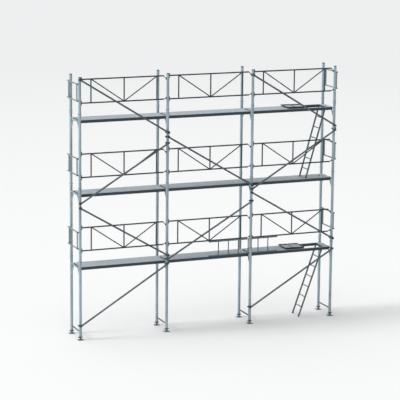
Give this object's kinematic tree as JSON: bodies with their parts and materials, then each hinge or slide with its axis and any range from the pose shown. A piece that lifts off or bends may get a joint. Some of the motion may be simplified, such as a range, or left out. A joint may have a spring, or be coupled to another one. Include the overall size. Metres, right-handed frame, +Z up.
{
  "type": "frame scaffold section",
  "caption": "Frame scaffold section of upright frames on screw jacks, decks with hatches, ladders, guardrails, end guards and tubular face braces.",
  "frame": {"origin": "On the ground under the middle of the section, midway between the front and rear posts.", "axes": "X runs along the bays, Y from the front posts to the rear posts, Z up."},
  "size_m": [7.674, 0.9159, 7.15],
  "materials": {
    "jack_steel": "hot-dip galvanised, dull",
    "cast_fittings": "zinc plated, dark in the hollows",
    "galvanised_frame": "hot-dip galvanised, fine spangle",
    "galvanised_rail": "hot-dip galvanised, weathered dull",
    "galvanised_brace": "hot-dip galvanised, weathered",
    "deck_alloy": "mill finish, worn on top",
    "lid_alloy": "mill finish, tread pattern",
    "ladder_alloy": "extruded, satin",
    "zinc_fasteners": "zinc plated"
  },
  "bodies": {
    "root": {"base_ties": "galvanised_brace", "brace_couplers": "cast_fittings", "braces_bay_1": "galvanised_brace", "braces_bay_2": "galvanised_brace", "braces_bay_3": "galvanised_brace", "deck_bay_1_level_1": "deck_alloy", "deck_bay_1_level_2": "deck_alloy", "deck_bay_1_level_3": "deck_alloy", "deck_bay_2_level_1": "deck_alloy", "deck_bay_2_level_2": "deck_alloy", "deck_bay_2_level_3": "deck_alloy", "end_guards_left": "galvanised_rail", "end_guards_right": "galvanised_rail", "frame_line_1_lift_1": "galvanised_frame", "frame_line_1_lift_2": "galvanised_frame", "frame_line_1_lift_3": "galvanised_frame", "frame_line_2_lift_1": "galvanised_frame", "frame_line_2_lift_2": "galvanised_frame", "frame_line_2_lift_3": "galvanised_frame", "frame_line_3_lift_1": "galvanised_frame", "frame_line_3_lift_2": "galvanised_frame", "frame_line_3_lift_3": "galvanised_frame", "frame_line_4_lift_1": "galvanised_frame", "frame_line_4_lift_2": "galvanised_frame", "frame_line_4_lift_3": "galvanised_frame", "guard_posts_line_1": "galvanised_frame", "guard_posts_line_2": "galvanised_frame", "guard_posts_line_3": "galvanised_frame", "guard_posts_line_4": "galvanised_frame", "guardrails_level_1": "galvanised_rail", "guardrails_level_2": "galvanised_rail", "guardrails_level_3": "galvanised_rail", "hatch_deck_level_1": "deck_alloy", "hatch_deck_level_2": "deck_alloy", "hatch_deck_level_3": "deck_alloy", "hatch_hinge_pins": "zinc_fasteners", "ladder_hinge_bolts": "zinc_fasteners", "locking_pins": "zinc_fasteners"},
    "jack_1_front": {"jack_line_1_front": "jack_steel"},
    "nut_1_front": {"jack_nut_line_1_front": "cast_fittings"},
    "jack_1_rear": {"jack_line_1_rear": "jack_steel"},
    "nut_1_rear": {"jack_nut_line_1_rear": "cast_fittings"},
    "jack_2_front": {"jack_line_2_front": "jack_steel"},
    "nut_2_front": {"jack_nut_line_2_front": "cast_fittings"},
    "jack_2_rear": {"jack_line_2_rear": "jack_steel"},
    "nut_2_rear": {"jack_nut_line_2_rear": "cast_fittings"},
    "jack_3_front": {"jack_line_3_front": "jack_steel"},
    "nut_3_front": {"jack_nut_line_3_front": "cast_fittings"},
    "jack_3_rear": {"jack_line_3_rear": "jack_steel"},
    "nut_3_rear": {"jack_nut_line_3_rear": "cast_fittings"},
    "jack_4_front": {"jack_line_4_front": "jack_steel"},
    "nut_4_front": {"jack_nut_line_4_front": "cast_fittings"},
    "jack_4_rear": {"jack_line_4_rear": "jack_steel"},
    "nut_4_rear": {"jack_nut_line_4_rear": "cast_fittings"},
    "lid_1": {"hatch_lid_level_1": "lid_alloy"},
    "lid_2": {"hatch_lid_level_2": "lid_alloy"},
    "lid_3": {"hatch_lid_level_3": "lid_alloy"},
    "lower_ladder": {"ladder_lower": "ladder_alloy"},
    "upper_ladder": {"ladder_upper": "ladder_alloy"},
    "stowed_ladder": {"ladder_stowed": "ladder_alloy"}
  },
  "joints": [
    {"name": "nut_turn_1_front", "type": "hinge", "parent": "root", "child": "nut_1_front", "pos_m": [-3.75, -0.37, 0.083], "axis": [0, 0, 1], "range_deg": [0, 11250]},
    {"name": "jack_slide_1_front", "type": "slide", "parent": "root", "child": "jack_1_front", "axis": [0, 0, -1], "range_m": [0, 0.2501]},
    {"name": "nut_turn_1_rear", "type": "hinge", "parent": "root", "child": "nut_1_rear", "pos_m": [-3.75, 0.37, 0.083], "axis": [0, 0, 1], "range_deg": [0, 11250]},
    {"name": "jack_slide_1_rear", "type": "slide", "parent": "root", "child": "jack_1_rear", "axis": [0, 0, -1], "range_m": [0, 0.2501]},
    {"name": "nut_turn_2_front", "type": "hinge", "parent": "root", "child": "nut_2_front", "pos_m": [-1.25, -0.37, 0.083], "axis": [0, 0, 1], "range_deg": [0, 11250]},
    {"name": "jack_slide_2_front", "type": "slide", "parent": "root", "child": "jack_2_front", "axis": [0, 0, -1], "range_m": [0, 0.2501]},
    {"name": "nut_turn_2_rear", "type": "hinge", "parent": "root", "child": "nut_2_rear", "pos_m": [-1.25, 0.37, 0.083], "axis": [0, 0, 1], "range_deg": [0, 11250]},
    {"name": "jack_slide_2_rear", "type": "slide", "parent": "root", "child": "jack_2_rear", "axis": [0, 0, -1], "range_m": [0, 0.2501]},
    {"name": "nut_turn_3_front", "type": "hinge", "parent": "root", "child": "nut_3_front", "pos_m": [1.25, -0.37, 0.083], "axis": [0, 0, 1], "range_deg": [0, 11250]},
    {"name": "jack_slide_3_front", "type": "slide", "parent": "root", "child": "jack_3_front", "axis": [0, 0, -1], "range_m": [0, 0.2501]},
    {"name": "nut_turn_3_rear", "type": "hinge", "parent": "root", "child": "nut_3_rear", "pos_m": [1.25, 0.37, 0.083], "axis": [0, 0, 1], "range_deg": [0, 11250]},
    {"name": "jack_slide_3_rear", "type": "slide", "parent": "root", "child": "jack_3_rear", "axis": [0, 0, -1], "range_m": [0, 0.2501]},
    {"name": "nut_turn_4_front", "type": "hinge", "parent": "root", "child": "nut_4_front", "pos_m": [3.75, -0.37, 0.083], "axis": [0, 0, 1], "range_deg": [0, 11250]},
    {"name": "jack_slide_4_front", "type": "slide", "parent": "root", "child": "jack_4_front", "axis": [0, 0, -1], "range_m": [0, 0.2501]},
    {"name": "nut_turn_4_rear", "type": "hinge", "parent": "root", "child": "nut_4_rear", "pos_m": [3.75, 0.37, 0.083], "axis": [0, 0, 1], "range_deg": [0, 11250]},
    {"name": "jack_slide_4_rear", "type": "slide", "parent": "root", "child": "jack_4_rear", "axis": [0, 0, -1], "range_m": [0, 0.2501]},
    {"name": "lid_hinge_1", "type": "hinge", "parent": "root", "child": "lid_1", "pos_m": [2.975, 0, 2.0085], "axis": [0, 1, 0], "range_deg": [0, 179]},
    {"name": "lid_hinge_2", "type": "hinge", "parent": "root", "child": "lid_2", "pos_m": [2.975, 0, 4.0085], "axis": [0, 1, 0], "range_deg": [-179, 0]},
    {"name": "lid_hinge_3", "type": "hinge", "parent": "root", "child": "lid_3", "pos_m": [2.975, 0, 6.0085], "axis": [0, 1, 0], "range_deg": [0, 179]},
    {"name": "lower_ladder_hinge", "type": "hinge", "parent": "root", "child": "lower_ladder", "pos_m": [3.543, 0, 1.944], "axis": [0, 1, 0], "range_deg": [0, 65]},
    {"name": "upper_ladder_hinge", "type": "hinge", "parent": "root", "child": "upper_ladder", "pos_m": [3.543, 0, 5.944], "axis": [0, 1, 0], "range_deg": [0, 69]},
    {"name": "stowed_ladder_lift", "type": "slide", "parent": "root", "child": "stowed_ladder", "axis": [0, 0, 1], "range_m": [0, 0.25]}
  ],
  "couplings": [
    {"joint": "jack_slide_1_front", "follows": "nut_turn_1_front", "m_per_rad": 0.0012732},
    {"joint": "jack_slide_1_rear", "follows": "nut_turn_1_rear", "m_per_rad": 0.0012732},
    {"joint": "jack_slide_2_front", "follows": "nut_turn_2_front", "m_per_rad": 0.0012732},
    {"joint": "jack_slide_2_rear", "follows": "nut_turn_2_rear", "m_per_rad": 0.0012732},
    {"joint": "jack_slide_3_front", "follows": "nut_turn_3_front", "m_per_rad": 0.0012732},
    {"joint": "jack_slide_3_rear", "follows": "nut_turn_3_rear", "m_per_rad": 0.0012732},
    {"joint": "jack_slide_4_front", "follows": "nut_turn_4_front", "m_per_rad": 0.0012732},
    {"joint": "jack_slide_4_rear", "follows": "nut_turn_4_rear", "m_per_rad": 0.0012732},
    {"joint": "lid_hinge_2", "follows": "upper_ladder_hinge", "ratio": -2.5942}
  ]
}
